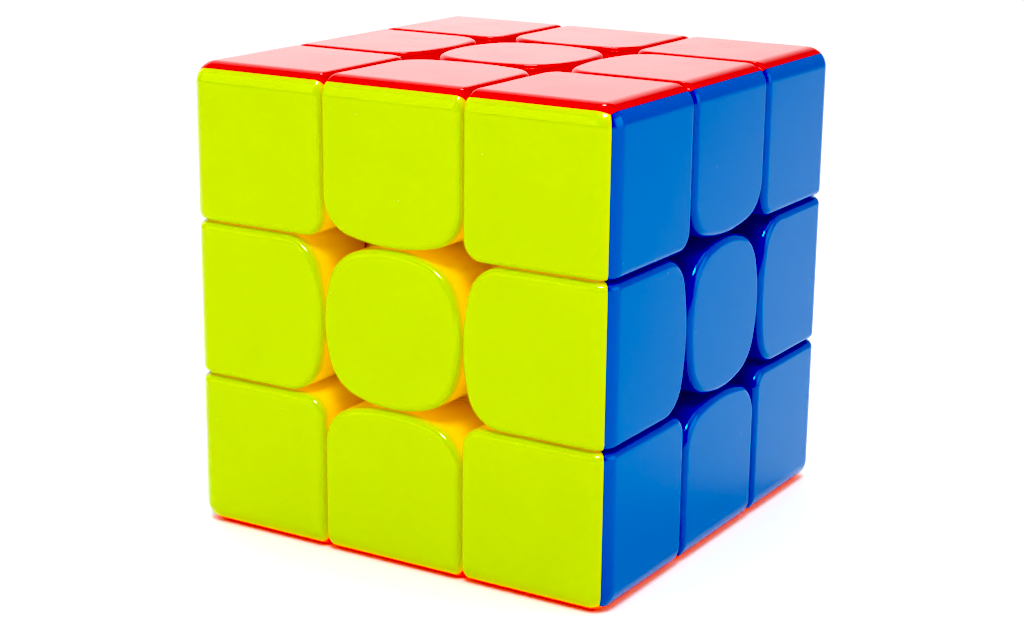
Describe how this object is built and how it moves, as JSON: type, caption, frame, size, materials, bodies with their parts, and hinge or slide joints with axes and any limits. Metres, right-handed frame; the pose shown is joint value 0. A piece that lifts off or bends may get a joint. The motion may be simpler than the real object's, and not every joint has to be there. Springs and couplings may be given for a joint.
{
  "type": "twisty puzzle cube",
  "caption": "Stickerless layered puzzle cube: coloured centre, edge and corner pieces hook under one another round a sprung six-arm core, and each face layer turns.",
  "frame": {"origin": "centre of the core, which is the centre of the cube", "axes": "+Z out of the red top face, -Y out of the yellow front face, +X out of the blue right face"},
  "size_m": [0.056, 0.056, 0.056],
  "materials": {
    "red_plastic": "glossy",
    "orange_plastic": "glossy",
    "yellow_plastic": "glossy",
    "white_plastic": "glossy",
    "blue_plastic": "glossy",
    "green_plastic": "glossy",
    "core_plastic": "satin",
    "zinc_steel": "zinc plated",
    "spring_steel": "drawn wire",
    "washer_steel": "plain"
  },
  "bodies": {
    "core": {"core_spider": "core_plastic", "tension_screws": "zinc_steel", "tension_springs": "spring_steel", "head_washers": "washer_steel", "seat_washers": "washer_steel"},
    "centre_top": {"centre_top_red": "red_plastic"},
    "centre_bottom": {"centre_bottom_orange": "orange_plastic"},
    "centre_front": {"centre_front_yellow": "yellow_plastic"},
    "centre_back": {"centre_back_white": "white_plastic"},
    "centre_right": {"centre_right_blue": "blue_plastic"},
    "centre_left": {"centre_left_green": "green_plastic"},
    "edge_top_front": {"edge_top_front_red": "red_plastic", "edge_top_front_yellow": "yellow_plastic"},
    "edge_top_back": {"edge_top_back_red": "red_plastic", "edge_top_back_white": "white_plastic"},
    "edge_top_right": {"edge_top_right_red": "red_plastic", "edge_top_right_blue": "blue_plastic"},
    "edge_top_left": {"edge_top_left_red": "red_plastic", "edge_top_left_green": "green_plastic"},
    "edge_bottom_front": {"edge_bottom_front_orange": "orange_plastic", "edge_bottom_front_yellow": "yellow_plastic"},
    "edge_bottom_back": {"edge_bottom_back_orange": "orange_plastic", "edge_bottom_back_white": "white_plastic"},
    "edge_bottom_right": {"edge_bottom_right_orange": "orange_plastic", "edge_bottom_right_blue": "blue_plastic"},
    "edge_bottom_left": {"edge_bottom_left_orange": "orange_plastic", "edge_bottom_left_green": "green_plastic"},
    "edge_front_right": {"edge_front_right_yellow": "yellow_plastic", "edge_front_right_blue": "blue_plastic"},
    "edge_front_left": {"edge_front_left_yellow": "yellow_plastic", "edge_front_left_green": "green_plastic"},
    "edge_back_right": {"edge_back_right_white": "white_plastic", "edge_back_right_blue": "blue_plastic"},
    "edge_back_left": {"edge_back_left_white": "white_plastic", "edge_back_left_green": "green_plastic"},
    "corner_top_front_right": {"corner_top_front_right_red": "red_plastic", "corner_top_front_right_yellow": "yellow_plastic", "corner_top_front_right_blue": "blue_plastic"},
    "corner_top_front_left": {"corner_top_front_left_red": "red_plastic", "corner_top_front_left_yellow": "yellow_plastic", "corner_top_front_left_green": "green_plastic"},
    "corner_top_back_right": {"corner_top_back_right_red": "red_plastic", "corner_top_back_right_white": "white_plastic", "corner_top_back_right_blue": "blue_plastic"},
    "corner_top_back_left": {"corner_top_back_left_red": "red_plastic", "corner_top_back_left_white": "white_plastic", "corner_top_back_left_green": "green_plastic"},
    "corner_bottom_front_right": {"corner_bottom_front_right_orange": "orange_plastic", "corner_bottom_front_right_yellow": "yellow_plastic", "corner_bottom_front_right_blue": "blue_plastic"},
    "corner_bottom_front_left": {"corner_bottom_front_left_orange": "orange_plastic", "corner_bottom_front_left_yellow": "yellow_plastic", "corner_bottom_front_left_green": "green_plastic"},
    "corner_bottom_back_right": {"corner_bottom_back_right_orange": "orange_plastic", "corner_bottom_back_right_white": "white_plastic", "corner_bottom_back_right_blue": "blue_plastic"},
    "corner_bottom_back_left": {"corner_bottom_back_left_orange": "orange_plastic", "corner_bottom_back_left_white": "white_plastic", "corner_bottom_back_left_green": "green_plastic"}
  },
  "joints": [
    {"name": "top_turn", "type": "hinge", "parent": "core", "child": "centre_top", "pos_m": [0, 0, 0], "axis": [0, 0, 1], "continuous": true},
    {"name": "bottom_turn", "type": "hinge", "parent": "core", "child": "centre_bottom", "pos_m": [0, 0, 0], "axis": [0, 0, -1], "continuous": true},
    {"name": "front_turn", "type": "hinge", "parent": "core", "child": "centre_front", "pos_m": [0, 0, 0], "axis": [0, -1, 0], "continuous": true},
    {"name": "back_turn", "type": "hinge", "parent": "core", "child": "centre_back", "pos_m": [0, 0, 0], "axis": [0, 1, 0], "continuous": true},
    {"name": "right_turn", "type": "hinge", "parent": "core", "child": "centre_right", "pos_m": [0, 0, 0], "axis": [1, 0, 0], "continuous": true},
    {"name": "left_turn", "type": "hinge", "parent": "core", "child": "centre_left", "pos_m": [0, 0, 0], "axis": [-1, 0, 0], "continuous": true},
    {"name": "edge_top_front_with_front", "type": "hinge", "parent": "centre_top", "child": "edge_top_front", "pos_m": [0, 0, 0], "axis": [0, -1, 0], "continuous": true},
    {"name": "edge_top_back_with_back", "type": "hinge", "parent": "centre_top", "child": "edge_top_back", "pos_m": [0, 0, 0], "axis": [0, 1, 0], "continuous": true},
    {"name": "edge_top_right_with_right", "type": "hinge", "parent": "centre_top", "child": "edge_top_right", "pos_m": [0, 0, 0], "axis": [1, 0, 0], "continuous": true},
    {"name": "edge_top_left_with_left", "type": "hinge", "parent": "centre_top", "child": "edge_top_left", "pos_m": [0, 0, 0], "axis": [-1, 0, 0], "continuous": true},
    {"name": "edge_bottom_front_with_bottom", "type": "hinge", "parent": "centre_front", "child": "edge_bottom_front", "pos_m": [0, 0, 0], "axis": [0, 0, -1], "continuous": true},
    {"name": "edge_bottom_back_with_bottom", "type": "hinge", "parent": "centre_back", "child": "edge_bottom_back", "pos_m": [0, 0, 0], "axis": [0, 0, -1], "continuous": true},
    {"name": "edge_bottom_right_with_bottom", "type": "hinge", "parent": "centre_right", "child": "edge_bottom_right", "pos_m": [0, 0, 0], "axis": [0, 0, -1], "continuous": true},
    {"name": "edge_bottom_left_with_bottom", "type": "hinge", "parent": "centre_left", "child": "edge_bottom_left", "pos_m": [0, 0, 0], "axis": [0, 0, -1], "continuous": true},
    {"name": "edge_front_right_with_right", "type": "hinge", "parent": "centre_front", "child": "edge_front_right", "pos_m": [0, 0, 0], "axis": [1, 0, 0], "continuous": true},
    {"name": "edge_front_left_with_front", "type": "hinge", "parent": "centre_left", "child": "edge_front_left", "pos_m": [0, 0, 0], "axis": [0, -1, 0], "continuous": true},
    {"name": "edge_back_right_with_back", "type": "hinge", "parent": "centre_right", "child": "edge_back_right", "pos_m": [0, 0, 0], "axis": [0, 1, 0], "continuous": true},
    {"name": "edge_back_left_with_left", "type": "hinge", "parent": "centre_back", "child": "edge_back_left", "pos_m": [0, 0, 0], "axis": [-1, 0, 0], "continuous": true},
    {"name": "corner_top_front_right_with_right", "type": "hinge", "parent": "edge_top_front", "child": "corner_top_front_right", "pos_m": [0, 0, 0], "axis": [1, 0, 0], "continuous": true},
    {"name": "corner_top_front_left_with_left", "type": "hinge", "parent": "edge_top_front", "child": "corner_top_front_left", "pos_m": [0, 0, 0], "axis": [-1, 0, 0], "continuous": true},
    {"name": "corner_top_back_right_with_right", "type": "hinge", "parent": "edge_top_back", "child": "corner_top_back_right", "pos_m": [0, 0, 0], "axis": [1, 0, 0], "continuous": true},
    {"name": "corner_top_back_left_with_left", "type": "hinge", "parent": "edge_top_back", "child": "corner_top_back_left", "pos_m": [0, 0, 0], "axis": [-1, 0, 0], "continuous": true},
    {"name": "corner_bottom_front_right_with_right", "type": "hinge", "parent": "edge_bottom_front", "child": "corner_bottom_front_right", "pos_m": [0, 0, 0], "axis": [1, 0, 0], "continuous": true},
    {"name": "corner_bottom_front_left_with_left", "type": "hinge", "parent": "edge_bottom_front", "child": "corner_bottom_front_left", "pos_m": [0, 0, 0], "axis": [-1, 0, 0], "continuous": true},
    {"name": "corner_bottom_back_right_with_right", "type": "hinge", "parent": "edge_bottom_back", "child": "corner_bottom_back_right", "pos_m": [0, 0, 0], "axis": [1, 0, 0], "continuous": true},
    {"name": "corner_bottom_back_left_with_left", "type": "hinge", "parent": "edge_bottom_back", "child": "corner_bottom_back_left", "pos_m": [0, 0, 0], "axis": [-1, 0, 0], "continuous": true}
  ],
  "couplings": [
    {"joint": "edge_top_front_with_front", "follows": "front_turn", "ratio": 1},
    {"joint": "edge_top_back_with_back", "follows": "back_turn", "ratio": 1},
    {"joint": "edge_top_right_with_right", "follows": "right_turn", "ratio": 1},
    {"joint": "edge_top_left_with_left", "follows": "left_turn", "ratio": 1},
    {"joint": "edge_bottom_front_with_bottom", "follows": "bottom_turn", "ratio": 1},
    {"joint": "edge_bottom_back_with_bottom", "follows": "bottom_turn", "ratio": 1},
    {"joint": "edge_bottom_right_with_bottom", "follows": "bottom_turn", "ratio": 1},
    {"joint": "edge_bottom_left_with_bottom", "follows": "bottom_turn", "ratio": 1},
    {"joint": "edge_front_right_with_right", "follows": "right_turn", "ratio": 1},
    {"joint": "edge_front_left_with_front", "follows": "front_turn", "ratio": 1},
    {"joint": "edge_back_right_with_back", "follows": "back_turn", "ratio": 1},
    {"joint": "edge_back_left_with_left", "follows": "left_turn", "ratio": 1},
    {"joint": "corner_top_front_right_with_right", "follows": "right_turn", "ratio": 1},
    {"joint": "corner_top_front_left_with_left", "follows": "left_turn", "ratio": 1},
    {"joint": "corner_top_back_right_with_right", "follows": "right_turn", "ratio": 1},
    {"joint": "corner_top_back_left_with_left", "follows": "left_turn", "ratio": 1},
    {"joint": "corner_bottom_front_right_with_right", "follows": "right_turn", "ratio": 1},
    {"joint": "corner_bottom_front_left_with_left", "follows": "left_turn", "ratio": 1},
    {"joint": "corner_bottom_back_right_with_right", "follows": "right_turn", "ratio": 1},
    {"joint": "corner_bottom_back_left_with_left", "follows": "left_turn", "ratio": 1}
  ]
}
